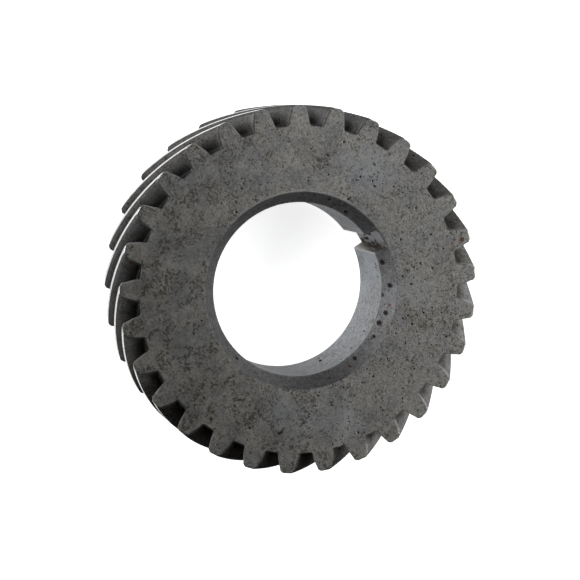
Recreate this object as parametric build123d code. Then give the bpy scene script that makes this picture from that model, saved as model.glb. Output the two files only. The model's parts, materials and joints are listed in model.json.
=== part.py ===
from build123d import *
import os
from math import acos, asin, atan, cos, degrees, hypot, pi, radians, sin, sqrt, tan

# One-piece helical gear: 29 left-hand teeth on a flat ring with a keyed bore, all cut in one steel blank.
# Frame: the gear axis is Z, the origin is on it at half the face width, the deeply chamfered front face
# looks along +Z, and the keyway opens towards +X. Millimetres.

# Tooth system
TEETH = 29
NORMAL_MODULE = 2.5
HELIX_ANGLE = 41.0           # degrees at the pitch cylinder, left hand
NORMAL_PRESSURE_ANGLE = 14.5
ADDENDUM = 1.0 * NORMAL_MODULE
DEDENDUM = 1.2 * NORMAL_MODULE
TOOTH_THICKNESS = 5.4        # along the pitch circle, in the plane of rotation
ROOT_FILLET = 0.6
TIP_CHAMFER = 0.6            # along both tip edges of every tooth
TOOTH_TURN_FROM_KEYWAY = -1.6  # degrees from the keyway to the nearest tooth's middle, at the front face

# Blank
FACE_WIDTH = 24.0
RIM_CHAMFER = 0.3            # breaks the tip cylinder's edge at both faces
BLANK_ALLOWANCE = 1.0        # how much larger in radius the blank is than the finished teeth

# Bore and keyway
BORE_RADIUS = 24.0
FRONT_CHAMFER_RADIUS = 27.2  # where the wide front chamfer meets the front face
FRONT_CHAMFER_DEPTH = 4.0
BACK_CHAMFER = 0.5
KEYWAY_WIDTH = 6.0
KEYWAY_DEPTH = 2.8           # beyond the bore wall
KEYWAY_CORNER = 0.25         # radius in the two floor corners

FLANK_POINTS = 7             # through points of each involute curve
CUT_CLEARANCE = 1.0          # how far a cutter runs past the face it leaves by

# Worked out from the dimensions above
transverse_module = NORMAL_MODULE / cos(radians(HELIX_ANGLE))
pitch_radius = transverse_module * TEETH / 2
tip_radius = pitch_radius + ADDENDUM
root_radius = pitch_radius - DEDENDUM
transverse_pressure_angle = atan(tan(radians(NORMAL_PRESSURE_ANGLE)) / cos(radians(HELIX_ANGLE)))
base_radius = pitch_radius * cos(transverse_pressure_angle)
twist = degrees(FACE_WIDTH * tan(radians(HELIX_ANGLE)) / pitch_radius)
back_z = -FACE_WIDTH / 2
front_z = FACE_WIDTH / 2
pitch_angle = 360 / TEETH


def involute(angle):
    """The angle between the radius to an involute point and the radius where the curve starts."""
    return tan(angle) - angle


def half_tooth_angle(radius):
    """Half the angle, in radians, that one tooth takes up on the circle of this radius."""
    at_pitch = TOOTH_THICKNESS / (2 * pitch_radius)
    return at_pitch + involute(transverse_pressure_angle) - involute(acos(base_radius / radius))


def polar(radius, angle):
    """A point in the section plane, from its radius and its angle in radians."""
    return Vector(radius * cos(angle), radius * sin(angle))


def mirrored(point):
    """The same point on the tooth's other flank; the tooth's middle lies along X."""
    return Vector(point.X, -point.Y)


def tooth_outline():
    """The edges of one tooth centred on X, anticlockwise, with the root arc that follows it.

    The fillet's circle touches the root circle and the flank. Every normal of an involute touches the base
    circle, so the fillet's centre and the flank's first point lie on one such tangent, a radius apart.
    """
    centre_radius = root_radius + ROOT_FILLET
    along_normal = sqrt(centre_radius**2 - base_radius**2)
    flank_start_radius = hypot(base_radius, along_normal - ROOT_FILLET)
    start_turn = half_tooth_angle(flank_start_radius)
    centre_turn = start_turn - acos(base_radius / flank_start_radius) + acos(base_radius / centre_radius)

    flank_start = polar(flank_start_radius, start_turn)
    fillet_foot = polar(root_radius, centre_turn)
    fillet_centre = polar(centre_radius, centre_turn)
    outward = (flank_start + fillet_foot) / 2 - fillet_centre
    fillet_middle = fillet_centre + outward.normalized() * ROOT_FILLET

    flank_end_radius = tip_radius - TIP_CHAMFER
    rise = flank_end_radius - flank_start_radius
    radii = [flank_start_radius + rise * i / (FLANK_POINTS - 1) for i in range(FLANK_POINTS)]
    flank = [polar(radius, half_tooth_angle(radius)) for radius in radii]
    land_edge = polar(tip_radius, half_tooth_angle(tip_radius) - asin(TIP_CHAMFER / tip_radius))

    next_foot = mirrored(fillet_foot).rotate(Axis.Z, pitch_angle)
    return [
        ThreePointArc(mirrored(fillet_foot), mirrored(fillet_middle), mirrored(flank_start)),
        Spline(*[mirrored(point) for point in flank]),
        Line(mirrored(flank[-1]), mirrored(land_edge)),
        ThreePointArc(mirrored(land_edge), polar(tip_radius, 0), land_edge),
        Line(land_edge, flank[-1]),
        Spline(*reversed(flank)),
        ThreePointArc(flank_start, fillet_middle, fillet_foot),
        ThreePointArc(fillet_foot, polar(root_radius, pi / TEETH), next_foot),
    ]


def toothed_body():
    """The teeth and rim: the section at the back face, turned clockwise as it rises to the front face."""
    one_tooth = tooth_outline()
    first_turn = TOOTH_TURN_FROM_KEYWAY + twist
    edges = [
        edge.moved(Location((0, 0, back_z), (0, 0, first_turn + pitch_angle * tooth)))
        for tooth in range(TEETH)
        for edge in one_tooth
    ]
    section = Face(Wire(edges))
    return Solid.extrude_linear_with_rotation(section, (0, 0, back_z), (0, 0, FACE_WIDTH), -twist)


def turned_blank():
    """The disc that the teeth are cut in, with the edges of its rim broken."""
    disc = Cylinder(tip_radius + BLANK_ALLOWANCE, FACE_WIDTH)
    return chamfer(disc.edges().filter_by(GeomType.CIRCLE), RIM_CHAMFER + BLANK_ALLOWANCE)


def bore_cutter():
    """The bore, the wide cone at the front and the small one at the back, as one turned shape."""
    front_slope = (FRONT_CHAMFER_RADIUS - BORE_RADIUS) / FRONT_CHAMFER_DEPTH
    half_section = Polyline(
        (0, back_z - CUT_CLEARANCE),
        (BORE_RADIUS + BACK_CHAMFER + CUT_CLEARANCE, back_z - CUT_CLEARANCE),
        (BORE_RADIUS, back_z + BACK_CHAMFER),
        (BORE_RADIUS, front_z - FRONT_CHAMFER_DEPTH),
        (FRONT_CHAMFER_RADIUS + front_slope * CUT_CLEARANCE, front_z + CUT_CLEARANCE),
        (0, front_z + CUT_CLEARANCE),
        close=True,
    )
    return revolve(Plane.XZ * make_face(half_section), Axis.Z)


def keyway_cutter():
    """A straight slot through both faces, from the axis out to the keyway's floor."""
    length = BORE_RADIUS + KEYWAY_DEPTH
    slot = Pos(length / 2, 0) * Rectangle(length, KEYWAY_WIDTH)
    floor_corners = slot.vertices().sort_by(Axis.X)[-2:]
    slot = fillet(floor_corners, KEYWAY_CORNER)
    return extrude(Pos(0, 0, back_z - CUT_CLEARANCE) * slot, FACE_WIDTH + 2 * CUT_CLEARANCE)


def helical_gear():
    """The finished gear."""
    return toothed_body() & turned_blank() - bore_cutter() - keyway_cutter()


os.makedirs("parts", exist_ok=True)
export_step(helical_gear(), "parts/helical_gear.step")
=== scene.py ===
import json
from math import acos, asin, atan, atan2, ceil, cos, hypot, pi, radians, sin, sqrt, tan, tau
from random import Random

import bpy
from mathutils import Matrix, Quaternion, Vector, noise
from mathutils.geometry import delaunay_2d_cdt


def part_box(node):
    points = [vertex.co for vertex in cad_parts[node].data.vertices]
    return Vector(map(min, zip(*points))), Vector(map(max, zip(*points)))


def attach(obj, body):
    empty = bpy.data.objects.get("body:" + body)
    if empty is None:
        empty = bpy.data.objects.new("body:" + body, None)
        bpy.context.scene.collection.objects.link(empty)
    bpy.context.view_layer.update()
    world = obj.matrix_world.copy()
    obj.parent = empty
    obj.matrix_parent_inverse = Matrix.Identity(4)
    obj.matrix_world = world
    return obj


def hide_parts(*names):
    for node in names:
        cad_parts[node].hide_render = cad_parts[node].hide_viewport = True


# A one-piece helical gear. The frame is the CAD model's: the gear axis is Z, the origin is on it at half the
# face width, the deeply chamfered front face looks along +Z and the keyway opens towards +X. Metres.

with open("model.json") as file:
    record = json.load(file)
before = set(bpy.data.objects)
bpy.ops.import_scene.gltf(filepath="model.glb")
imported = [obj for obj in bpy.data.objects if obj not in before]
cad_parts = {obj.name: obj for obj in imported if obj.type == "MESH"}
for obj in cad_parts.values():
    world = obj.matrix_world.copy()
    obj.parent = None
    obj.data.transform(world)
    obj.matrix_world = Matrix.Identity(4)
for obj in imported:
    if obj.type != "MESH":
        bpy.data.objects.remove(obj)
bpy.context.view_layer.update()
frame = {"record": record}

MM = 0.001
NODE = "helical_gear"
mounts = {mount["name"]: mount for mount in frame["record"]["mounts"]}

# ------------------------------------------------------------
# Dimensions: the blank and the bore come from the frame, the rest are the design's own driving values

low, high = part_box(NODE)
back_z, front_z = low.z, high.z
face_width = front_z - back_z
bore_radius = mounts["bore"]["dims"]["r_mm"] * MM
keyway_floor = mounts["keyway"]["pos_m"][0]

TEETH = 29
NORMAL_MODULE = 2.5 * MM
HELIX_ANGLE = radians(41.0)            # at the pitch cylinder, left hand
NORMAL_PRESSURE_ANGLE = radians(14.5)
ADDENDUM = 1.0 * NORMAL_MODULE
DEDENDUM = 1.2 * NORMAL_MODULE
TOOTH_THICKNESS = 5.4 * MM
ROOT_FILLET = 0.6 * MM
TIP_CHAMFER = 0.6 * MM
TOOTH_TURN_FROM_KEYWAY = radians(-1.6)

FRONT_CHAMFER_RADIUS = 27.2 * MM
FRONT_CHAMFER_DEPTH = 4.0 * MM
BACK_CHAMFER = 0.5 * MM
KEYWAY_WIDTH = 6.0 * MM
KEYWAY_CORNER = 0.25 * MM

pitch_radius = NORMAL_MODULE / cos(HELIX_ANGLE) * TEETH / 2
tip_radius = pitch_radius + ADDENDUM
root_radius = pitch_radius - DEDENDUM
transverse_pressure_angle = atan(tan(NORMAL_PRESSURE_ANGLE) / cos(HELIX_ANGLE))
base_radius = pitch_radius * cos(transverse_pressure_angle)
twist = face_width * tan(HELIX_ANGLE) / pitch_radius
tooth_pitch = tau / TEETH

# How far handling and wear have rounded the edges
ACUTE_EDGE_BREAK = 0.55 * MM           # flank edges where the helix makes the steel thin
BLUNT_EDGE_BREAK = 0.42 * MM           # the opposite flank's edges
ROOT_EDGE_BREAK = 0.32 * MM
TIP_EDGE_BREAK = 0.30 * MM
TIP_EDGE_SOFTNESS = 0.27 * MM          # both sides of each tooth's tip chamfer
CHAMFER_EDGE_SOFTNESS = 0.18 * MM      # where the front chamfer meets the front face, on its worn side
BRIM_WEAR_AND_HIGHLIGHT_SIDE = radians(50)           # which side that is; the brim's worn colour there is also a painted highlight
KEENEST_BRIM = 0.4                     # share of that softness on the side that is worn least
BRIM_WEAR_AND_HIGHLIGHT_GAIN = 1.6                   # wear and painted highlight round that edge are this many times a cosine, less the next value
BRIM_WEAR_AND_HIGHLIGHT_LOSS = 0.6
BORE_EDGE_SOFTNESS = 0.20 * MM         # where the front chamfer meets the bore
EDGE_LUMPS = ((1.7 * MM, 0.16), (6 * MM, 0.14))  # size and share of the unevenness in the rounded edges
FACE_SEED_HEIGHT = 0.02                # keeps the unevenness of the two faces apart
ROOT_BLEND = 2 * MM                    # height above the root at which a flank's edge has its full break
TIP_BLEND_START = 1.2 * TIP_CHAMFER    # depth below the tip at which it has the tip's
TIP_BLEND = 0.8 * MM                   # and how much further down it has its own

# How bright wear has made the edges, as a share of a fully worn one
BLUNT_EDGE_WEAR = 0.25
BORE_FOOT_WEAR = 0.5
CREASE_WEAR = 0.15                     # where the front chamfer meets the bore
MOUTH_WEAR = 0.9                       # along the keyway's mouth
MOUTH_WEAR_REACH = 0.45 * MM

SUPPORT_WIDTH = 0.12 * MM              # strip beside each edge that keeps the flat face's shading flat
LAND_TOLERANCE = 0.02 * MM             # how far below the tip circle the ground land still reaches

# Mesh density
LAND_STEPS = 3
FLANK_STEPS = 7
FILLET_STEPS = 4
ROOT_STEPS = 3
SOFT_STEPS = 3
EDGE_STEPS = 4
HELIX_STEPS = 26
KEYWAY_FLOOR_STEPS = 6                 # from the middle of the floor towards each corner
KEYWAY_FLOOR_STEP = 0.15               # of half the keyway's width
BORE_COLUMN_STEP = 0.36 * MM
WALL_STEPS = 34
CONE_STEPS = 11
SHARP_ANGLE = radians(38)              # edges sharper than this are shaded as edges


def involute(angle):
    """The angle between the radius to an involute point and the radius where the curve starts."""
    return tan(angle) - angle


def half_tooth_angle(radius):
    """Half the angle that one tooth takes up on the circle of this radius."""
    at_pitch = TOOTH_THICKNESS / (2 * pitch_radius)
    return at_pitch + involute(transverse_pressure_angle) - involute(acos(base_radius / radius))


def polar(radius, angle):
    return Vector((radius * cos(angle), radius * sin(angle)))


def turned(point, angle):
    """A point in the section plane, turned about the gear axis."""
    return Vector((point.x * cos(angle) - point.y * sin(angle), point.x * sin(angle) + point.y * cos(angle)))


def softened(before, corner, after, setback, steps):
    """The corner between two straight stretches, replaced by a small curve."""
    start = corner + (before - corner).normalized() * setback
    end = corner + (after - corner).normalized() * setback
    curve = []
    for i in range(steps + 1):
        t = i / steps
        curve.append(start * (1 - t) ** 2 + corner * (2 * t * (1 - t)) + end * t**2)
    return curve


# ------------------------------------------------------------
# The toothed rim


def tooth_side():
    """One side of a tooth whose middle lies along +X, from the middle of its tip to the middle of the gap."""
    centre_radius = root_radius + ROOT_FILLET
    flank_start_radius = hypot(base_radius, sqrt(centre_radius**2 - base_radius**2) - ROOT_FILLET)
    centre_turn = (
        half_tooth_angle(flank_start_radius)
        - acos(base_radius / flank_start_radius)
        + acos(base_radius / centre_radius)
    )
    fillet_centre = polar(centre_radius, centre_turn)
    flank_start = polar(flank_start_radius, half_tooth_angle(flank_start_radius))
    first_turn = atan2(flank_start.y - fillet_centre.y, flank_start.x - fillet_centre.x) % tau
    last_turn = centre_turn + pi

    land_edge_turn = half_tooth_angle(tip_radius) - asin(TIP_CHAMFER / tip_radius)
    land_edge = polar(tip_radius, land_edge_turn)
    flank_end_radius = tip_radius - TIP_CHAMFER
    flank_end = polar(flank_end_radius, half_tooth_angle(flank_end_radius))
    further_down = polar(flank_end_radius - TIP_CHAMFER, half_tooth_angle(flank_end_radius - TIP_CHAMFER))

    soft_turn = TIP_EDGE_SOFTNESS / tip_radius
    side = [polar(tip_radius, (land_edge_turn - soft_turn) * i / LAND_STEPS) for i in range(LAND_STEPS)]
    side += softened(polar(tip_radius, 0), land_edge, flank_end, TIP_EDGE_SOFTNESS, SOFT_STEPS)
    side += softened(land_edge, flank_end, further_down, TIP_EDGE_SOFTNESS, SOFT_STEPS)
    top_radius = side[-1].length
    for i in range(1, FLANK_STEPS):
        radius = top_radius + (flank_start_radius - top_radius) * i / FLANK_STEPS
        side.append(polar(radius, half_tooth_angle(radius)))
    for i in range(FILLET_STEPS + 1):
        turn = first_turn + (last_turn - first_turn) * i / FILLET_STEPS
        side.append(fillet_centre + polar(ROOT_FILLET, turn))
    for i in range(1, ROOT_STEPS + 1):
        side.append(polar(root_radius, centre_turn + (tooth_pitch / 2 - centre_turn) * i / ROOT_STEPS))
    return side


def rim_outline():
    """The whole outline, anticlockwise, with the first tooth's middle along +X, and its outward normals."""
    side = tooth_side()
    clockwise_side = [Vector((p.x, -p.y)) for p in reversed(side[1:])]
    tooth = clockwise_side + side[:-1]
    points = [turned(p, tooth_pitch * k) for k in range(TEETH) for p in tooth]
    normals = []
    for i, point in enumerate(points):
        along = points[(i + 1) % len(points)] - points[i - 1]
        normals.append(Vector((along.y, -along.x)).normalized())
    return points, normals


def turn_at(z):
    """How far the section at this height is turned from the first one."""
    return TOOTH_TURN_FROM_KEYWAY + (front_z - z) / face_width * twist


def held(share):
    """The share, no lower than 0 and no higher than 1."""
    return min(1.0, max(0.0, share))


def is_acute(point, at_front):
    """Whether the helix makes the steel thin where this outline point meets the face."""
    angle = atan2(point.y, point.x)
    from_tooth_middle = angle - round(angle / tooth_pitch) * tooth_pitch
    return (from_tooth_middle < 0) == at_front


def edge_break(point, at_front):
    """How far the edge between the outline and a face is rounded at this point."""
    flank_break = ACUTE_EDGE_BREAK if is_acute(point, at_front) else BLUNT_EDGE_BREAK
    from_root = point.length - root_radius
    to_tip = tip_radius - TIP_BLEND_START - point.length
    amount = ROOT_EDGE_BREAK + (flank_break - ROOT_EDGE_BREAK) * held(from_root / ROOT_BLEND)
    amount = TIP_EDGE_BREAK + (amount - TIP_EDGE_BREAK) * held(to_tip / TIP_BLEND)
    seat = Vector((point.x, point.y, FACE_SEED_HEIGHT if at_front else -FACE_SEED_HEIGHT))
    wander = sum(noise.noise(seat / size) * share for size, share in EDGE_LUMPS)
    return amount * (1 + wander)


def edge_wear(point, at_front):
    """How brightly an edge is worn at this point: the thin acute edges of the flanks most."""
    if not is_acute(point, at_front):
        return BLUNT_EDGE_WEAR
    on_flank = held((point.length - root_radius) / ROOT_BLEND)
    return BLUNT_EDGE_WEAR + (1 - BLUNT_EDGE_WEAR) * on_flank


class GearMesh:
    """Vertices and faces as they are made, with each face's surface and each vertex's wear and pitting."""

    def __init__(self):
        self.points = []
        self.wear = []
        self.pitted = []
        self.faces = []
        self.surfaces = []

    def add(self, x, y, z, wear=0.0, pitted=0.0):
        self.points.append((x, y, z))
        self.wear.append(wear)
        self.pitted.append(pitted)
        return len(self.points) - 1

    def face(self, corners, surface):
        self.faces.append(corners)
        self.surfaces.append(surface)

    def strip(self, lower, upper, surfaces, flip=False):
        """Quads between two closed rows of the same length, each on its own surface."""
        for i, surface in enumerate(surfaces):
            j = (i + 1) % len(lower)
            corners = (lower[i], lower[j], upper[j], upper[i])
            self.face(corners[::-1] if flip else corners, surface)


FACE, FLANK, TIP, BORE, CONE, KEYWAY = range(6)


def rim_surfaces(points):
    """Which surface each stretch of the outline belongs to: ground tips, or hobbed flanks and roots."""
    count = len(points)
    found = []
    for i, point in enumerate(points):
        middle = (point + points[(i + 1) % count]) / 2
        found.append(TIP if middle.length > tip_radius - LAND_TOLERANCE else FLANK)
    return found


def make_rim(mesh):
    """The helical outside of the gear. Returns the outline on the back face and the one on the front face."""
    points, normals = rim_outline()
    surfaces = rim_surfaces(points)
    front_breaks = [edge_break(p, True) for p in points]
    back_breaks = [edge_break(p, False) for p in points]
    front_wear = [edge_wear(p, True) for p in points]
    back_wear = [edge_wear(p, False) for p in points]

    def row(heights, insets, wear):
        made = []
        for p, n, z, inset, worn in zip(points, normals, heights, insets, wear):
            place = turned(p - n * inset, turn_at(z))
            made.append(mesh.add(place.x, place.y, z, worn))
        return made

    rows = []
    for i in range(EDGE_STEPS):
        rise = sin(pi / 2 * (1 - i / EDGE_STEPS))
        inward = 1 - sqrt(1 - rise**2)
        heights = [back_z + e * (1 - rise) for e in back_breaks]
        rows.append(row(heights, [e * inward for e in back_breaks], [w * rise for w in back_wear]))
    for i in range(HELIX_STEPS + 1):
        t = i / HELIX_STEPS
        heights = [(back_z + b) * (1 - t) + (front_z - f) * t for b, f in zip(back_breaks, front_breaks)]
        rows.append(row(heights, [0] * len(points), [0] * len(points)))
    for i in range(1, EDGE_STEPS + 1):
        rise = sin(pi / 2 * i / EDGE_STEPS)
        inward = 1 - sqrt(1 - rise**2)
        heights = [front_z - e * (1 - rise) for e in front_breaks]
        rows.append(row(heights, [e * inward for e in front_breaks], [w * rise for w in front_wear]))
    for lower, upper in zip(rows, rows[1:]):
        mesh.strip(lower, upper, surfaces)

    def supported(outline, breaks, z):
        """The outline with a second row just inside it, so that the flat face starts flat."""
        inner = []
        for p, n, e in zip(points, normals, breaks):
            place = turned(p - n * (e + SUPPORT_WIDTH), turn_at(z))
            inner.append(mesh.add(place.x, place.y, z))
        return outline, inner

    return supported(rows[0], back_breaks, back_z), supported(rows[-1], front_breaks, front_z)


# ------------------------------------------------------------
# The bore, the front chamfer and the keyway


def bore_columns():
    """The inside outline of the straight bore with its keyway, anticlockwise from the keyway's floor.

    Also returns which surface each stretch of it belongs to.
    """
    half_width = KEYWAY_WIDTH / 2
    mouth = Vector((sqrt(bore_radius**2 - half_width**2), half_width))
    floor_corner = Vector((keyway_floor, half_width))
    floor_middle = Vector((keyway_floor, 0))

    mouth_turn = atan2(mouth.y, mouth.x)
    beside = polar(bore_radius, mouth_turn + radians(1))
    mouth_curve = softened(floor_corner, mouth, beside, BORE_EDGE_SOFTNESS, SOFT_STEPS)
    floor_curve = softened(floor_middle, floor_corner, mouth, KEYWAY_CORNER, SOFT_STEPS)

    floor_step = KEYWAY_FLOOR_STEP * half_width
    half = [floor_middle + Vector((0, floor_step * i)) for i in range(KEYWAY_FLOOR_STEPS)]
    half += floor_curve
    wall_length = floor_curve[-1].x - mouth_curve[0].x
    wall_steps = ceil(wall_length / BORE_COLUMN_STEP)
    for i in range(1, wall_steps):
        half.append(Vector((floor_curve[-1].x - wall_length * i / wall_steps, half_width)))
    half += mouth_curve

    start = atan2(half[-1].y, half[-1].x)
    steps = ceil((tau - 2 * start) * bore_radius / BORE_COLUMN_STEP)
    arc = [polar(bore_radius, start + (tau - 2 * start) * i / steps) for i in range(1, steps)]
    other_half = [Vector((p.x, -p.y)) for p in reversed(half[1:])]
    in_keyway = [KEYWAY] * (len(half) - len(mouth_curve))
    in_bore = [BORE] * (2 * len(mouth_curve) - 1 + len(arc))
    return half + arc + other_half, in_keyway + in_bore + in_keyway


def cone_radius(z):
    """The front chamfer's radius at this height."""
    bottom = front_z - FRONT_CHAMFER_DEPTH
    return bore_radius + (z - bottom) / FRONT_CHAMFER_DEPTH * (FRONT_CHAMFER_RADIUS - bore_radius)


def column_line(radius, turn):
    """Points (radius, height, wear) up one line of the inside, from the back face to the front face."""
    # Wear round the brim, strongest on one side, where its bright colour is also a painted highlight
    brim_wear_and_highlight = held(BRIM_WEAR_AND_HIGHLIGHT_GAIN * cos(turn - BRIM_WEAR_AND_HIGHLIGHT_SIDE) - BRIM_WEAR_AND_HIGHLIGHT_LOSS)
    foot = back_z + max(0.0, bore_radius + BACK_CHAMFER - radius)
    slope = FRONT_CHAMFER_DEPTH / (FRONT_CHAMFER_RADIUS - bore_radius)
    crease = Vector((radius, front_z - FRONT_CHAMFER_DEPTH + (radius - bore_radius) * slope))
    brim = Vector((FRONT_CHAMFER_RADIUS, front_z))
    slant = (brim - crease).length
    soft = min(BORE_EDGE_SOFTNESS, 0.3 * slant)
    brim_soft = min(CHAMFER_EDGE_SOFTNESS * (KEENEST_BRIM + (1 - KEENEST_BRIM) * brim_wear_and_highlight), 0.4 * slant)

    bottom = Vector((radius, foot))
    line = [(max(radius, bore_radius + BACK_CHAMFER), back_z, 1.0)]
    top_of_wall = crease.y - soft
    for i in range(WALL_STEPS):
        height = foot + (top_of_wall - foot) * i / WALL_STEPS
        line.append((radius, height, BORE_FOOT_WEAR if i == 0 else 0.0))
    for p in softened(bottom, crease, brim, soft, SOFT_STEPS):
        line.append((p.x, p.y, CREASE_WEAR))
    start = crease + (brim - crease).normalized() * soft
    end = brim + (crease - brim).normalized() * brim_soft
    for i in range(1, CONE_STEPS):
        p = start + (end - start) * i / CONE_STEPS
        line.append((p.x, p.y, 0.0))
    outside = Vector((FRONT_CHAMFER_RADIUS + MM, front_z))
    for p in softened(crease, brim, outside, brim_soft, SOFT_STEPS + 1):
        line.append((p.x, p.y, brim_wear_and_highlight))
    return line


def make_inside(mesh, pits):
    """The bore with its two chamfers and the keyway. Returns its outlines on the back and the front face."""
    columns, wall_surfaces = bore_columns()
    mouth_turn = asin(KEYWAY_WIDTH / 2 / bore_radius)
    turns = [atan2(p.y, p.x) for p in columns]
    lines = [column_line(p.length, turn) for p, turn in zip(columns, turns)]
    wall_top = 1 + WALL_STEPS
    rows = []
    for level in range(len(lines[0])):
        made = []
        mouth_wear = MOUTH_WEAR if level <= wall_top else 0
        for line, turn in zip(lines, turns):
            radius, z, wear = line[level]
            depth, inside = pit_depth(pits, radius, turn, z)
            place = polar(radius + depth, turn)
            beside_mouth = 1 - held(abs(abs(turn) - mouth_turn) * bore_radius / MOUTH_WEAR_REACH)
            made.append(mesh.add(place.x, place.y, z, max(wear, mouth_wear * beside_mouth), inside))
        rows.append(made)

    cone_surfaces = [CONE] * len(columns)
    for level, (lower, upper) in enumerate(zip(rows, rows[1:])):
        mesh.strip(lower, upper, wall_surfaces if level < wall_top else cone_surfaces, flip=True)

    def supported(outline):
        """The outline with a second row just outside it, so that the flat face starts flat."""
        outer = []
        for index, turn in zip(outline, turns):
            x, y, z = mesh.points[index]
            place = polar(hypot(x, y) + SUPPORT_WIDTH, turn)
            outer.append(mesh.add(place.x, place.y, z))
        return outline, outer

    return supported(rows[0]), supported(rows[-1])


# ------------------------------------------------------------
# Corrosion pits deep enough to be real dents, and the other places where the steel has changed. Their angles
# are in degrees from the keyway and their lengths in millimetres.


def scattered(seed, count, middle, spread, *ranges):
    """Seeded marks: each is an angle, thickest about the middle one, and one value from every range."""
    random = Random(seed)
    marks = []
    for _ in range(count):
        angle = random.gauss(middle, spread)
        marks.append((angle, *[random.uniform(least, most) for least, most in ranges]))
    return marks


# Dents on the front chamfer: angle, height above mid-width, radius and depth
CHAMFER_PITS = scattered(2, 11, -20, 40, (8, 10.5), (0.5, 0.9), (0.25, 0.4))

# Red rust: angle, distance from the axis, height above mid-width and reach
RUST_MARKS = scattered(7, 8, 130, 28, (47, 50.5), (10, 12), (0.8, 1.3))
RUST_MARKS += scattered(8, 3, -35, 8, (47, 50.5), (6, 12), (0.9, 1.8))
RUST_MARKS += scattered(9, 2, -50, 40, (25.5, 26.5), (9, 10.5), (0.7, 1.0))

# Patches of the front face: angle, distance from the axis and reach
STAINED_PATCHES = scattered(3, 12, 140, 40, (29, 43), (3, 5)) + scattered(4, 6, -48, 18, (29, 46), (3, 4))
POLISHED_PATCHES = scattered(5, 2, 40, 10, (37, 39), (10, 12)) + scattered(6, 2, -122, 5, (33, 40), (8, 10))

# A short black gouge in the front face, which thins out towards the bore
GOUGE_START = 39.5                     # distance from the axis
GOUGE_ANGLE = -130
GOUGE_STEPS = 4
GOUGE_STEP = 0.55                      # towards the bore
GOUGE_TURN = 0.5                       # degrees from one step to the next
GOUGE_REACH = 0.80
GOUGE_TAPER = 0.17                     # how much smaller each step's reach is than the one before

BORE_PITS = 34                         # how many pits are down the bore
FRONT_PITS = 110                       # and in each flat face
BACK_PITS = 90
PIT_CLEARANCE = 1.3 * MM               # between pits on a flat face and the chamfer's edge
ROOT_CLEARANCE = 1.2 * MM              # and between them and the roots of the teeth

# Rings of points round a dent in a flat face: reach and depth as shares of the dent's, unevenness and count
DENT_RINGS = ((1.3, 0.0, 0.10, 9), (1.0, 0.0, 0.175, 9), (0.62, 0.7, 0.25, 7))


def pit_depth(pits, radius, turn, z):
    """How deep the pits go at a point on the inside, and 1 in the middle of one, 0 outside."""
    depth, inside = 0.0, 0.0
    for angle, height, size, deepest in pits:
        around = (turn - angle + pi) % tau - pi
        distance = hypot(around * radius, z - height) / size
        if distance < 1:
            share = (1 - distance**2) ** 2
            depth = max(depth, deepest * share)
            inside = max(inside, 1 - distance**2)
    return depth, inside


def inside_pits():
    """The pits on the chamfer, and a scatter of smaller ones down the bore."""
    random = Random(41)
    pits = [(radians(a), h * MM, size * MM, deep * MM) for a, h, size, deep in CHAMFER_PITS]
    for _ in range(BORE_PITS):
        angle = radians(random.gauss(-45, 55))
        size = random.uniform(0.3, 0.6) ** 1.5 * 1.3 * MM
        pits.append((angle, random.uniform(-11, 11) * MM, size, 0.3 * size))
    return pits


def face_pits(seed, count):
    """Pits spread over a face between the chamfer and the roots of the teeth, none touching another."""
    random = Random(seed)
    pits = []
    while len(pits) < count:
        radius = random.uniform(FRONT_CHAMFER_RADIUS + PIT_CLEARANCE, root_radius - ROOT_CLEARANCE)
        angle = radians(random.gauss(-45, 75))
        size = (0.22 + 0.24 * random.random() ** 1.5) * MM
        place = polar(radius, angle)
        if all((place - other).length > 1.5 * (size + other_size) for other, other_size, _ in pits):
            pits.append((place, size, size * random.uniform(0.25, 0.38)))
    return pits


# ------------------------------------------------------------
# The two flat faces


def make_face(mesh, z, rim, inside, pits, up):
    """A flat face between the toothed outline and the inside outline, with dents where the pits are."""
    rim_edge, rim_inner = rim
    bore_edge, bore_outer = inside
    mesh.strip(rim_edge, rim_inner, [FACE] * len(rim_edge), flip=not up)
    mesh.strip(bore_edge, bore_outer, [FACE] * len(bore_edge), flip=up)

    indices = rim_inner + bore_outer
    inward = -1 if up else 1
    random = Random(7)
    for place, size, depth in pits:
        phase = random.uniform(0, tau)
        for share, drop, unevenness, count in DENT_RINGS:
            for k in range(count):
                angle = phase + tau * k / count
                reach = size * share * (1 + unevenness * sin(2 * angle + phase))
                p = place + polar(reach, angle)
                indices.append(mesh.add(p.x, p.y, z + inward * depth * drop, 0.0, drop))
        indices.append(mesh.add(place.x, place.y, z + inward * depth, 0.0, 1.0))

    # The triangulation works in millimetres, and doesn't cross either outline
    flat = [Vector(mesh.points[i][:2]) / MM for i in indices]
    rim_count, bore_count = len(rim_inner), len(bore_outer)
    edges = [(i, (i + 1) % rim_count) for i in range(rim_count)]
    edges += [(rim_count + i, rim_count + (i + 1) % bore_count) for i in range(bore_count)]
    corners_at, _, triangles, origins, _, _ = delaunay_2d_cdt(flat, edges, [], 1, 1e-6)
    for triangle in triangles:
        sources = [origins[i][0] for i in triangle]
        if all(rim_count <= source < rim_count + bore_count for source in sources):
            continue
        corners = [indices[source] for source in sources]
        a, b, c = (corners_at[i] for i in triangle)
        anticlockwise = (b - a).cross(c - a) > 0
        mesh.face(corners if anticlockwise == up else corners[::-1], FACE)


# ------------------------------------------------------------
# Materials


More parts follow.
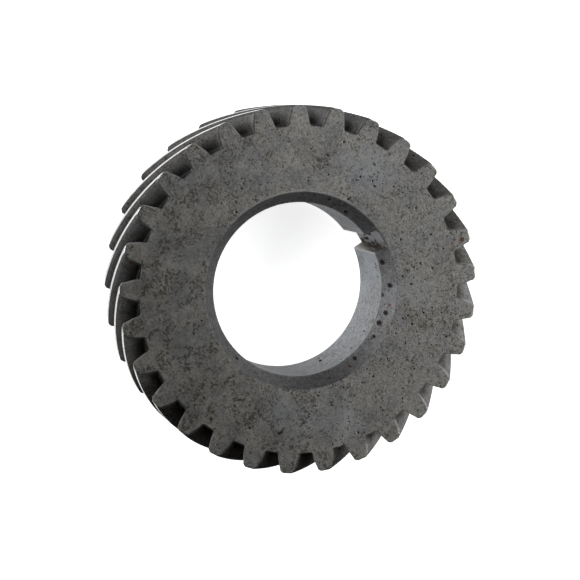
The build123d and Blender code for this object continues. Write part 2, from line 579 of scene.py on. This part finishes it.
class Nodes:
    """A short way to write a material's node tree."""

    def __init__(self, name):
        self.material = bpy.data.materials.new(name)
        self.material.use_nodes = True
        self.tree = self.material.node_tree
        self.shader = self.tree.nodes["Principled BSDF"]
        self.position = self.node("ShaderNodeTexCoord").outputs["Object"]

    def node(self, kind, **values):
        made = self.tree.nodes.new(kind)
        for name, value in values.items():
            setattr(made, name, value)
        return made

    def link(self, source, target):
        if isinstance(source, (int, float)):
            target.default_value = source
        else:
            self.tree.links.new(source, target)

    def paint(self, colour, target):
        """A colour input set from three values, or linked to another node."""
        if isinstance(colour, tuple):
            target.default_value = (*colour, 1)
        else:
            self.tree.links.new(colour, target)

    def maths(self, operation, a, b=0.0, clamp=False):
        made = self.node("ShaderNodeMath", operation=operation, use_clamp=clamp)
        self.link(a, made.inputs[0])
        self.link(b, made.inputs[1])
        return made.outputs[0]

    def vector_maths(self, operation, *values):
        """The node for one step of vector maths, on sockets and tuples of three values."""
        made = self.node("ShaderNodeVectorMath", operation=operation)
        for value, target in zip(values, made.inputs):
            if isinstance(value, tuple):
                target.default_value = value
            else:
                self.tree.links.new(value, target)
        return made

    def ramp(self, value, low, high, to_low=0.0, to_high=1.0):
        """The value mapped smoothly from one range to another, and held at its ends."""
        made = self.node("ShaderNodeMapRange", interpolation_type="SMOOTHSTEP")
        self.link(value, made.inputs["Value"])
        made.inputs["From Min"].default_value = low
        made.inputs["From Max"].default_value = high
        made.inputs["To Min"].default_value = to_low
        made.inputs["To Max"].default_value = to_high
        return made.outputs["Result"]

    def noise(self, size, detail=3.0, roughness=0.55, vector=None, shift=0.0):
        """Fractal noise whose largest lumps are this many metres across, from 0 to 1."""
        made = self.node("ShaderNodeTexNoise", noise_dimensions="4D")
        self.link(vector or self.position, made.inputs["Vector"])
        made.inputs["W"].default_value = shift
        made.inputs["Scale"].default_value = 1 / size
        made.inputs["Detail"].default_value = detail
        made.inputs["Roughness"].default_value = roughness
        return made.outputs["Fac"]

    def vector_noise(self, place, size, detail):
        """Three noises at once, each from 0 to 1, for pushing points about."""
        made = self.node("ShaderNodeTexNoise")
        self.link(place, made.inputs["Vector"])
        made.inputs["Scale"].default_value = 1 / size
        made.inputs["Detail"].default_value = detail
        return made.outputs["Color"]

    def spots(self, spacing, size, share, shift=0.0, vector=None):
        """Ragged round spots, one to a cell at most, 1 in their middles: share is how many cells have one."""
        moved = self.vector_maths("ADD", vector or self.position, (shift, shift * 0.7, -shift)).outputs[0]
        push = (size * 1.1, size * 1.1, size * 1.1)
        pushed = self.vector_maths("MULTIPLY", self.vector_noise(moved, size * 1.3, 2), push).outputs[0]
        cells = self.node("ShaderNodeTexVoronoi")
        self.link(self.vector_maths("ADD", moved, pushed).outputs[0], cells.inputs["Vector"])
        cells.inputs["Scale"].default_value = 1 / spacing
        colour = self.node("ShaderNodeSeparateColor")
        self.link(cells.outputs["Color"], colour.inputs[0])
        kept = self.maths("GREATER_THAN", share, colour.outputs[0])
        reach = self.maths("MULTIPLY", colour.outputs[1], 0.7 * size / spacing)
        reach = self.maths("ADD", reach, 0.3 * size / spacing)
        near = self.maths("SUBTRACT", 1.0, self.maths("DIVIDE", cells.outputs["Distance"], reach), clamp=True)
        return self.maths("MULTIPLY", near, kept)

    def attribute(self, name):
        return self.node("ShaderNodeAttribute", attribute_name=name).outputs["Fac"]

    def mix(self, share, a, b):
        """Colour a where share is 0, colour b where it is 1."""
        made = self.node("ShaderNodeMix", data_type="RGBA")
        self.link(share, made.inputs["Factor"])
        self.paint(a, made.inputs["A"])
        self.paint(b, made.inputs["B"])
        return made.outputs["Result"]

    def stain(self, share, colour, tint):
        """The colour multiplied by the tint, by this share."""
        made = self.node("ShaderNodeMix", data_type="RGBA", blend_type="MULTIPLY")
        self.link(share, made.inputs["Factor"])
        self.paint(colour, made.inputs["A"])
        self.paint(tint, made.inputs["B"])
        return made.outputs["Result"]

    def bump(self, height, depth, below=None):
        made = self.node("ShaderNodeBump")
        made.inputs["Strength"].default_value = 1.0
        made.inputs["Distance"].default_value = depth
        self.link(height, made.inputs["Height"])
        if below:
            self.link(below, made.inputs["Normal"])
        return made.outputs["Normal"]

    def along(self, direction):
        """How far a point lies along a direction, in metres."""
        return self.vector_maths("DOT_PRODUCT", self.position, direction).outputs["Value"]

    def radius(self):
        """How far a point is from the gear's axis."""
        flat = self.vector_maths("MULTIPLY", self.position, (1, 1, 0)).outputs[0]
        return self.vector_maths("LENGTH", flat).outputs["Value"]

    def bent_position(self, size, amount):
        """The position pushed about by noise, which makes an outline ragged."""
        ragged = self.vector_noise(self.position, size, 3)
        centred = self.vector_maths("SUBTRACT", ragged, (0.5, 0.5, 0.5)).outputs[0]
        push = (amount, amount, amount)
        return self.vector_maths("MULTIPLY_ADD", centred, push, self.position).outputs[0]

    def marks(self, places, size, amount, core):
        """1 in each place, given as (x, y, z, reach), out to a share of its reach, and 0 beyond its reach."""
        bent = self.bent_position(size, amount)
        found = 0.0
        for x, y, z, reach in places:
            away = self.vector_maths("DISTANCE", bent, (x, y, z)).outputs["Value"]
            found = self.maths("MAXIMUM", found, self.ramp(away, core * reach, reach, 1.0, 0.0))
        return found

    def ring_position(self, around, across):
        """Coordinates stretched along the turning direction, for marks that a lathe or a hone leaves."""
        apart = self.node("ShaderNodeSeparateXYZ")
        self.link(self.position, apart.inputs[0])
        x, y, z = apart.outputs
        turn = self.maths("ARCTAN2", y, x)
        made = self.node("ShaderNodeCombineXYZ")
        self.link(self.maths("MULTIPLY", turn, bore_radius / around), made.inputs[0])
        self.link(self.maths("DIVIDE", self.radius(), across), made.inputs[1])
        self.link(self.maths("DIVIDE", z, across), made.inputs[2])
        return made.outputs[0]


FACE_STEEL = (0.285, 0.285, 0.285)
FLANK_STEEL = (0.090, 0.089, 0.088)
TIP_STEEL = (0.44, 0.444, 0.455)
BORE_STEEL = (0.400, 0.410, 0.427)
CHAMFER_STEEL = (0.128, 0.128, 0.131)
KEYWAY_STEEL = (0.255, 0.258, 0.268)
WORN_STEEL = (0.22, 0.22, 0.217)       # where handling keeps an edge bright
BRIM_WEAR_AND_HIGHLIGHT_STEEL = (0.45, 0.45, 0.44)   # the same, round the front chamfer, where it is partly a painted highlight
WORN_MOUTH_STEEL = (0.62, 0.61, 0.59)  # and along the keyway's mouth
BLACK_RUST = (0.014, 0.010, 0.008)
RED_RUST = (0.070, 0.024, 0.017)

# What each kind of ageing multiplies the steel's own colour by, and what the painted shade and painted light
# multiply it by
SMOOTHER = (1.10, 1.14, 1.20)
OILY = (0.95, 0.93, 0.86)
BROWNED = (0.66, 0.60, 0.53)
GRIMED = (0.67, 0.66, 0.63)
DARKER = (0.48, 0.47, 0.45)
LIGHTER = (1.55, 1.55, 1.54)
SPECKED = (0.32, 0.29, 0.25)
DULLED = (0.52, 0.51, 0.49)
# The next two are painted shade and painted light for the tooth spaces
PAINTED_GAP_SHADE = (0.27, 0.26, 0.255)
PAINTED_GAP_LIGHT = (2.20, 2.20, 2.20)
# Painted shade along one side of the keyway
PAINTED_WALL_SHADE = (0.22, 0.18, 0.13)
SCALED = (1.45, 1.38, 1.20)

# How large the lumps of each texture are
POLISHED_LUMPS = 19 * MM
THICK_LUMPS = 8 * MM
BROWN_LUMPS = 7 * MM
OILY_LUMPS = 5.5 * MM
SPECKED_LUMPS = 4.2 * MM
MOTTLE_LUMPS = 1.7 * MM
SPECK_LUMPS = 0.75 * MM
GRIT_LUMPS = 0.45 * MM

# The spacing of each kind of rust pit, and its size
FINE_PITS = (0.85 * MM, 0.32 * MM)
COARSE_PITS = (2.6 * MM, 0.58 * MM)
RED_PITS = (2.4 * MM, 0.55 * MM)
PIT_BUMP = 0.06 * MM


def heading(angle):
    """The level direction at this many degrees from the keyway."""
    return (cos(radians(angle)), sin(radians(angle)), 0.0)


PITTED_SIDE = heading(-30)             # the side of the gear that has rusted most
GRIMY_SIDE = heading(170)              # the side with most old grime
PAINTED_LIGHT_SIDE = heading(-65)              # here the tooth spaces get a painted light
PAINTED_SHADE_SIDE = heading(-140)             # and here a painted shade darkens them


def tinted(colour, tint):
    return tuple(c * t for c, t in zip(colour, tint))


WORN_TIP_STEEL = tinted(TIP_STEEL, DULLED)  # the ends of the tips, which are dirtier than their lands


def placed(marks):
    """Marks in polar millimetres and degrees, as (x, y, z, reach) in metres."""
    found = []
    for angle, radius, height, reach in marks:
        place = polar(radius * MM, radians(angle))
        found.append((place.x, place.y, height * MM, reach * MM))
    return found


def on_front(patches):
    """Patches of the front face as marks."""
    return placed([(angle, radius, front_z / MM, reach) for angle, radius, reach in patches])


def gouge():
    """The gouge as a row of marks, each smaller than the one before."""
    steps = []
    for i in range(GOUGE_STEPS):
        reach = GOUGE_REACH - GOUGE_TAPER * i
        steps.append((GOUGE_ANGLE + GOUGE_TURN * i, GOUGE_START - GOUGE_STEP * i, reach))
    return on_front(steps)


def broad_tones(n, clean, dirty, grime, polished, dulled):
    """Polished, grimy, oily and browned places. Returns the colour and how lively fine texture is there."""
    smooth = n.ramp(n.noise(POLISHED_LUMPS, 2, 0.5, shift=1), 0.50, 0.66, 0.0, 0.5)
    if polished:
        patches = n.maths("MULTIPLY", n.marks(polished, 7 * MM, 9 * MM, 0.0), 0.85)
        smooth = n.maths("MAXIMUM", smooth, patches)
    lively = n.maths("SUBTRACT", 1.0, n.maths("MULTIPLY", smooth, 0.75))

    oily = n.ramp(n.noise(OILY_LUMPS, 4, 0.6, shift=2), 0.42, 0.62, 0.0, grime)
    browned = n.ramp(n.noise(BROWN_LUMPS, 5, 0.68, shift=5), 0.52, 0.68, 0.0, 0.5 * grime)
    colour = n.mix(smooth, clean, tinted(clean, SMOOTHER))
    colour = n.stain(dirty, colour, GRIMED)
    colour = n.stain(n.maths("MULTIPLY", oily, lively), colour, OILY)
    colour = n.stain(browned, colour, BROWNED)
    if dulled:
        colour = n.stain(n.ramp(n.along(PITTED_SIDE), 11 * MM, 22 * MM, 0.0, dulled), colour, DULLED)
    return colour, lively


def mottled(n, colour, mottle, grit, lively):
    """The colour with dark mottling and with dark and light grit."""
    colour = n.stain(n.maths("MULTIPLY", n.ramp(mottle, 0.36, 0.54, 0.5, 0.0), lively), colour, DARKER)
    colour = n.stain(n.maths("MULTIPLY", n.ramp(grit, 0.36, 0.54, 0.65, 0.0), lively), colour, DARKER)
    return n.stain(n.maths("MULTIPLY", n.ramp(grit, 0.50, 0.68, 0.0, 0.70), lively), colour, LIGHTER)


def specked(n, colour, density, dirty, grime, stained):
    """Dark specks, in patches and thickest where it is dirty. Returns the colour and where they are."""
    patches = n.ramp(n.noise(SPECKED_LUMPS, 4, 0.65, shift=17), 0.44, 0.58)
    everywhere = n.maths("ADD", n.maths("MULTIPLY", dirty, 0.8), 0.45 * grime)
    thickness = n.maths("ADD", n.maths("MULTIPLY", density, 0.5), n.maths("MULTIPLY", everywhere, patches))
    if stained:
        spread = n.marks(stained, 2.4 * MM, 6.5 * MM, 0.0)
        colour = n.stain(n.maths("MULTIPLY", spread, 0.3), colour, BROWNED)
        thickness = n.maths("MAXIMUM", thickness, n.maths("MULTIPLY", spread, 0.95))
    field = n.maths("ADD", n.noise(SPECK_LUMPS, 3, 0.75, shift=13), n.maths("MULTIPLY", thickness, 0.14))
    specks = n.ramp(field, 0.61, 0.67)
    return n.stain(n.maths("MULTIPLY", specks, 0.9), colour, SPECKED), specks


def rust_pitted(n, colour, density, rusted, gouged):
    """Black rust pits and a few red ones. Returns the colour, the black ones and the height for a bump."""
    fine = n.spots(*FINE_PITS, density, 0.011)
    coarse = n.spots(*COARSE_PITS, n.maths("MULTIPLY", density, 0.32), 0.023)
    red = n.spots(*RED_PITS, n.maths("MULTIPLY", density, 0.55), 0.037)
    pitted = n.maths("MAXIMUM", n.ramp(fine, 0.05, 0.50), n.ramp(coarse, 0.1, 0.6))
    pitted = n.maths("MAXIMUM", pitted, n.ramp(n.attribute("pitted"), 0.05, 0.6))
    if gouged:
        pitted = n.maths("MAXIMUM", pitted, n.marks(gouged, 0.5 * MM, 1.0 * MM, 0.4))
    rusty = n.ramp(red, 0.05, 0.5, 0.0, 0.75)
    if rusted:
        rusty = n.maths("MAXIMUM", rusty, n.marks(rusted, 0.8 * MM, 1.3 * MM, 0.3))

    colour = n.stain(n.ramp(coarse, 0.0, 0.25, 0.0, 0.35), colour, BROWNED)
    colour = n.mix(n.maths("MULTIPLY", pitted, 0.92), colour, BLACK_RUST)
    colour = n.mix(n.maths("MULTIPLY", rusty, 0.85), colour, RED_RUST)
    height = n.maths("SUBTRACT", 1.0, n.maths("MAXIMUM", fine, n.maths("MAXIMUM", coarse, red)))
    return colour, pitted, height


def paint_gap_light_and_shade(n, colour, painted_root_shade):
    """The colour with painted shade deep in the tooth spaces and all over one side, and painted light on
    another side.
    """
    # Painted light on one side
    colour = n.stain(n.ramp(n.along(PAINTED_LIGHT_SIDE), 26 * MM, 44 * MM), colour, PAINTED_GAP_LIGHT)
    # Painted shade, darkest at the roots of the tooth spaces, and over one side
    deep = n.ramp(n.radius(), root_radius, tip_radius - 0.5 * MM, painted_root_shade, 0.0)
    painted_side_shade = n.ramp(n.along(PAINTED_SHADE_SIDE), 32 * MM, 43 * MM, 0.0, 0.90)
    return n.stain(n.maths("MAXIMUM", deep, painted_side_shade), colour, PAINTED_GAP_SHADE)


def aged_steel(
    name, clean, roughness, pits, grime, grain_depth, rings=0.0, edge_tint=1.0, dulled=0.0, painted_root_shade=0.0,
    stained=(), polished=(), rusted=(), gouged=(), worn_to=WORN_STEEL,
):
    """Machined steel gone dull: mottled greys, grime, dark specks, fine rust pits and worn edges."""
    n = Nodes(name)
    n.shader.inputs["Metallic"].default_value = 1.0
    n.shader.inputs["Specular Tint"].default_value = (edge_tint, edge_tint, edge_tint, 1)
    mottle = n.noise(MOTTLE_LUMPS, 4, 0.7, shift=4)
    grit = n.noise(GRIT_LUMPS, 3, 0.8, shift=3)

    # How dirty and how densely pitted each place is
    dirty = n.ramp(n.along(GRIMY_SIDE), -25 * MM, 40 * MM, 0.0, grime)
    thick = n.ramp(n.noise(THICK_LUMPS, 3, 0.6, shift=7), 0.38, 0.62, 0.25, 1.0)
    density = n.maths("MULTIPLY", n.ramp(n.along(PITTED_SIDE), -40 * MM, 38 * MM, 0.30 * pits, pits), thick)

    colour, lively = broad_tones(n, clean, dirty, grime, polished, dulled)
    colour = mottled(n, colour, mottle, grit, lively)
    colour, specks = specked(n, colour, density, dirty, grime, stained)
    colour, pitted, height = rust_pitted(n, colour, density, rusted, gouged)
    # Painted shade in the tooth spaces and over one side, and painted light on another
    if painted_root_shade:
        colour = paint_gap_light_and_shade(n, colour, painted_root_shade)
    worn = n.maths("MULTIPLY", n.attribute("wear"), n.ramp(mottle, 0.35, 0.60, 0.60, 0.95))
    n.link(n.mix(worn, colour, worn_to), n.shader.inputs["Base Color"])

    patchy = n.noise(OILY_LUMPS, 4, 0.6, shift=2)
    rough = n.ramp(patchy, 0.3, 0.7, roughness - 0.05, roughness + 0.08)
    rough = n.maths("ADD", rough, n.maths("MULTIPLY", n.maths("MAXIMUM", pitted, specks), 0.06))
    rough = n.maths("ADD", rough, n.maths("MULTIPLY", worn, 0.12), clamp=True)
    n.link(rough, n.shader.inputs["Roughness"])

    normal = None
    if rings:
        turning = n.noise(1.0, 3, 0.6, vector=n.ring_position(9 * MM, 0.16 * MM), shift=11)
        normal = n.bump(turning, rings * MM)
    normal = n.bump(grit, grain_depth * MM, normal)
    n.link(n.bump(height, PIT_BUMP, normal), n.shader.inputs["Normal"])
    return n.material


def keyway_steel():
    """The broached keyway: a light floor, one side darkened brown with painted shade, and black pits near
    their corner.
    """
    n = Nodes("keyway_steel")
    n.shader.inputs["Metallic"].default_value = 1.0
    n.shader.inputs["Specular Tint"].default_value = (0.35, 0.35, 0.35, 1)
    mottle = n.noise(1.2 * MM, 4, 0.7, shift=21)
    grit = n.noise(GRIT_LUMPS, 3, 0.8, shift=22)

    # Distance up from the side with the painted shade, pushed about so that the shade's edge is ragged
    wander = n.maths("MULTIPLY", n.maths("SUBTRACT", mottle, 0.5), 3.0 * MM)
    height = n.maths("ADD", n.maths("ADD", n.along((0, 1, 0)), KEYWAY_WIDTH / 2), wander)
    colour = n.stain(n.ramp(grit, 0.34, 0.54, 0.6, 0.0), KEYWAY_STEEL, DARKER)
    colour = n.stain(n.ramp(mottle, 0.50, 0.66, 0.0, 0.6), colour, LIGHTER)
    scale_start = n.ramp(height, 0.1 * MM, 0.5 * MM)
    scale_end = n.ramp(height, 0.7 * MM, 1.2 * MM, 1.0, 0.0)
    colour = n.stain(n.maths("MULTIPLY", scale_start, scale_end), colour, SCALED)
    # Brown painted shade on the -Y side and where it meets the floor
    colour = n.stain(n.ramp(height, 0.1 * MM, 0.6 * MM, 1.0, 0.0), colour, PAINTED_WALL_SHADE)

    # Pits, drawn out along the keyway, and a red-brown line where the shaded side meets the bore
    squashed = n.vector_maths("MULTIPLY", n.position, (1, 1, 0.35)).outputs[0]
    near = n.ramp(height, 1.5 * MM, 5.0 * MM, 1.0, 0.25)
    pits = n.ramp(n.spots(1.6 * MM, 1.0 * MM, near, 0.05, vector=squashed), 0.05, 0.40)
    colour = n.mix(n.maths("MULTIPLY", pits, 0.9), colour, BLACK_RUST)
    mouth = n.ramp(n.radius(), bore_radius + 0.5 * MM, bore_radius + 1.1 * MM, 1.0, 0.0)
    red = n.maths("MULTIPLY", mouth, n.ramp(height, 0.2 * MM, 1.0 * MM, 0.85, 0.0))
    colour = n.mix(red, colour, RED_RUST)

    worn = n.maths("MULTIPLY", n.attribute("wear"), n.ramp(mottle, 0.35, 0.60, 0.60, 1.0))
    n.link(n.mix(worn, colour, WORN_MOUTH_STEEL), n.shader.inputs["Base Color"])
    n.link(n.ramp(mottle, 0.3, 0.7, 0.38, 0.52), n.shader.inputs["Roughness"])
    normal = n.bump(grit, 0.020 * MM)
    n.link(n.bump(n.maths("SUBTRACT", 1.0, pits), 0.08 * MM, normal), n.shader.inputs["Normal"])
    return n.material


def gear_materials():
    """One finish for each kind of surface, in the order of the surface numbers."""
    rusted = placed(RUST_MARKS)
    face = aged_steel(
        "face_steel", FACE_STEEL, 0.50, pits=0.60, grime=0.80, grain_depth=0.030, rings=0.006, dulled=0.25,
        stained=on_front(STAINED_PATCHES), polished=on_front(POLISHED_PATCHES), rusted=rusted, gouged=gouge(),
    )
    # The flanks get painted shade in the tooth spaces and over one side, and painted light on another
    flank = aged_steel(
        "flank_steel", FLANK_STEEL, 0.52, pits=0.55, grime=0.40, grain_depth=0.022, edge_tint=0.30,
        painted_root_shade=0.72, rusted=rusted,
    )
    tip = aged_steel(
        "tip_steel", TIP_STEEL, 0.24, pits=0.06, grime=0.10, grain_depth=0.006, worn_to=WORN_TIP_STEEL,
    )
    bore = aged_steel(
        "bore_steel", BORE_STEEL, 0.34, pits=0.17, grime=0.20, grain_depth=0.010, rings=0.030, edge_tint=0.25,
        worn_to=WORN_MOUTH_STEEL,
    )
    # The chamfer's worn colour round the brim is partly wear and partly a painted highlight
    chamfer = aged_steel(
        "chamfer_steel", CHAMFER_STEEL, 0.52, pits=0.25, grime=0.10, grain_depth=0.016, rings=0.014,
        edge_tint=0.45, rusted=rusted, worn_to=BRIM_WEAR_AND_HIGHLIGHT_STEEL,
    )
    return [face, flank, tip, bore, chamfer, keyway_steel()]


# ------------------------------------------------------------
# The gear


def make_gear():
    mesh = GearMesh()
    rim_back, rim_front = make_rim(mesh)
    inside_back, inside_front = make_inside(mesh, inside_pits())
    make_face(mesh, front_z, rim_front, inside_front, face_pits(3, FRONT_PITS), up=True)
    make_face(mesh, back_z, rim_back, inside_back, face_pits(5, BACK_PITS), up=False)

    data = bpy.data.meshes.new("gear_body")
    data.from_pydata(mesh.points, [], mesh.faces)
    for name, values in (("wear", mesh.wear), ("pitted", mesh.pitted)):
        data.attributes.new(name, "FLOAT", "POINT").data.foreach_set("value", values)
    data.polygons.foreach_set("material_index", mesh.surfaces)
    data.polygons.foreach_set("use_smooth", [True] * len(mesh.faces))
    data.set_sharp_from_angle(angle=SHARP_ANGLE)
    data.validate()
    for material in gear_materials():
        data.materials.append(material)
    gear = bpy.data.objects.new("gear_body", data)
    bpy.context.scene.collection.objects.link(gear)
    return gear


gear = make_gear()
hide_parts(NODE)
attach(gear, "root")

# ------------------------------------------------------------
# Floor, light and camera

FLOOR_SIZE = 3.0
FLOOR_GAP = 0.05 * MM                  # keeps the gear's back face clear of the floor's plane
FLOOR_GLOW = 0.78                      # keeps the floor near white in the picture
FLOOR_SHADES = ((0.90, 0.90, 0.90), (0.93, 0.93, 0.93))


def make_floor():
    """A pale matt sheet that the gear lies on."""
    half = FLOOR_SIZE / 2
    data = bpy.data.meshes.new("floor")
    top = back_z - FLOOR_GAP
    corners = [(-half, -half, top), (half, -half, top), (half, half, top), (-half, half, top)]
    data.from_pydata(corners, [], [(0, 1, 2, 3)])
    n = Nodes("floor_paper")
    shade = n.ramp(n.noise(0.3, 2, 0.5), 0.3, 0.7, 0.0, 1.0)
    n.link(n.mix(shade, *FLOOR_SHADES), n.shader.inputs["Base Color"])
    n.shader.inputs["Roughness"].default_value = 0.9
    n.shader.inputs["Specular IOR Level"].default_value = 0.1
    n.shader.inputs["Emission Color"].default_value = (1, 1, 1, 1)
    n.shader.inputs["Emission Strength"].default_value = FLOOR_GLOW
    data.materials.append(n.material)
    floor = bpy.data.objects.new("floor", data)
    bpy.context.scene.collection.objects.link(floor)
    return floor


make_floor()

CAMERA_AZIMUTH = radians(127.81)       # of the camera seen from the gear, anticlockwise from the keyway
CAMERA_ELEVATION = radians(73.36)
CAMERA_DISTANCE = 460.7 * MM           # from the middle of the front face, along the line of sight
CAMERA_ROLL = radians(110.72)
CAMERA_RIGHT = -3.46 * MM              # the line of sight passes this far beside the gear's axis
CAMERA_UP = 0.29 * MM
LENS = 105.0
SENSOR = 36.0


def direction(azimuth, elevation):
    return Vector((cos(azimuth) * cos(elevation), sin(azimuth) * cos(elevation), sin(elevation)))


def make_camera():
    back = direction(CAMERA_AZIMUTH, CAMERA_ELEVATION)
    level = back.to_track_quat("Z", "Y")
    rotation = Quaternion(back, CAMERA_ROLL) @ level
    right, up = rotation @ Vector((1, 0, 0)), rotation @ Vector((0, 1, 0))
    data = bpy.data.cameras.new("camera")
    data.lens = LENS
    data.sensor_width = SENSOR
    data.clip_start = 0.01
    camera = bpy.data.objects.new("camera", data)
    front_middle = Vector((0, 0, front_z))
    camera.location = front_middle + back * CAMERA_DISTANCE + right * CAMERA_RIGHT + up * CAMERA_UP
    camera.rotation_mode = "QUATERNION"
    camera.rotation_quaternion = rotation
    bpy.context.scene.collection.objects.link(camera)
    bpy.context.scene.camera = camera


make_camera()

PICTURE_TOP = 57.7                     # azimuth, in degrees, that is up in the picture
SOFTBOX_DISTANCE = 1.2


def make_softbox(name, azimuth, elevation, width, height, power):
    """A large area light that looks at the gear: degrees from the top of the picture, metres and watts."""
    away = direction(radians(PICTURE_TOP + azimuth), radians(elevation))
    data = bpy.data.lights.new(name, "AREA")
    data.shape = "RECTANGLE"
    data.size = width
    data.size_y = height
    data.energy = power
    light = bpy.data.objects.new(name, data)
    light.location = away * SOFTBOX_DISTANCE
    light.rotation_mode = "QUATERNION"
    light.rotation_quaternion = away.to_track_quat("Z", "Y")
    bpy.context.scene.collection.objects.link(light)


make_softbox("right_softbox", azimuth=-90, elevation=30, width=0.8, height=0.8, power=10)
make_softbox("top_right_softbox", azimuth=-45, elevation=28, width=0.7, height=0.7, power=7)
make_softbox("left_softbox", azimuth=68, elevation=35, width=1.1, height=0.5, power=13)
make_softbox("low_left_softbox", azimuth=95, elevation=12, width=1.4, height=0.4, power=4)

# The studio fades from low down on every side to overhead, by the height of a direction of length 1
STUDIO_COLOUR = (0.95, 0.97, 1.0, 1)
STUDIO_FADE_FROM, STUDIO_FADE_TO = 0.05, 0.75
STUDIO_LOW_STRENGTH, STUDIO_OVERHEAD_STRENGTH = 0.12, 0.02


def make_world():
    """A studio that is bright low down on every side and dark overhead, behind the camera."""
    world = bpy.data.worlds.new("studio")
    world.use_nodes = True
    tree = world.node_tree
    place = tree.nodes.new("ShaderNodeTexCoord")
    apart = tree.nodes.new("ShaderNodeSeparateXYZ")
    fade = tree.nodes.new("ShaderNodeMapRange")
    fade.interpolation_type = "SMOOTHSTEP"
    tree.links.new(place.outputs["Generated"], apart.inputs[0])
    tree.links.new(apart.outputs["Z"], fade.inputs["Value"])
    fade.inputs["From Min"].default_value = STUDIO_FADE_FROM
    fade.inputs["From Max"].default_value = STUDIO_FADE_TO
    fade.inputs["To Min"].default_value = STUDIO_LOW_STRENGTH
    fade.inputs["To Max"].default_value = STUDIO_OVERHEAD_STRENGTH
    background = tree.nodes["Background"]
    tree.links.new(fade.outputs["Result"], background.inputs["Strength"])
    background.inputs["Color"].default_value = STUDIO_COLOUR
    bpy.context.scene.world = world


make_world()
bpy.context.scene.view_settings.view_transform = "Standard"
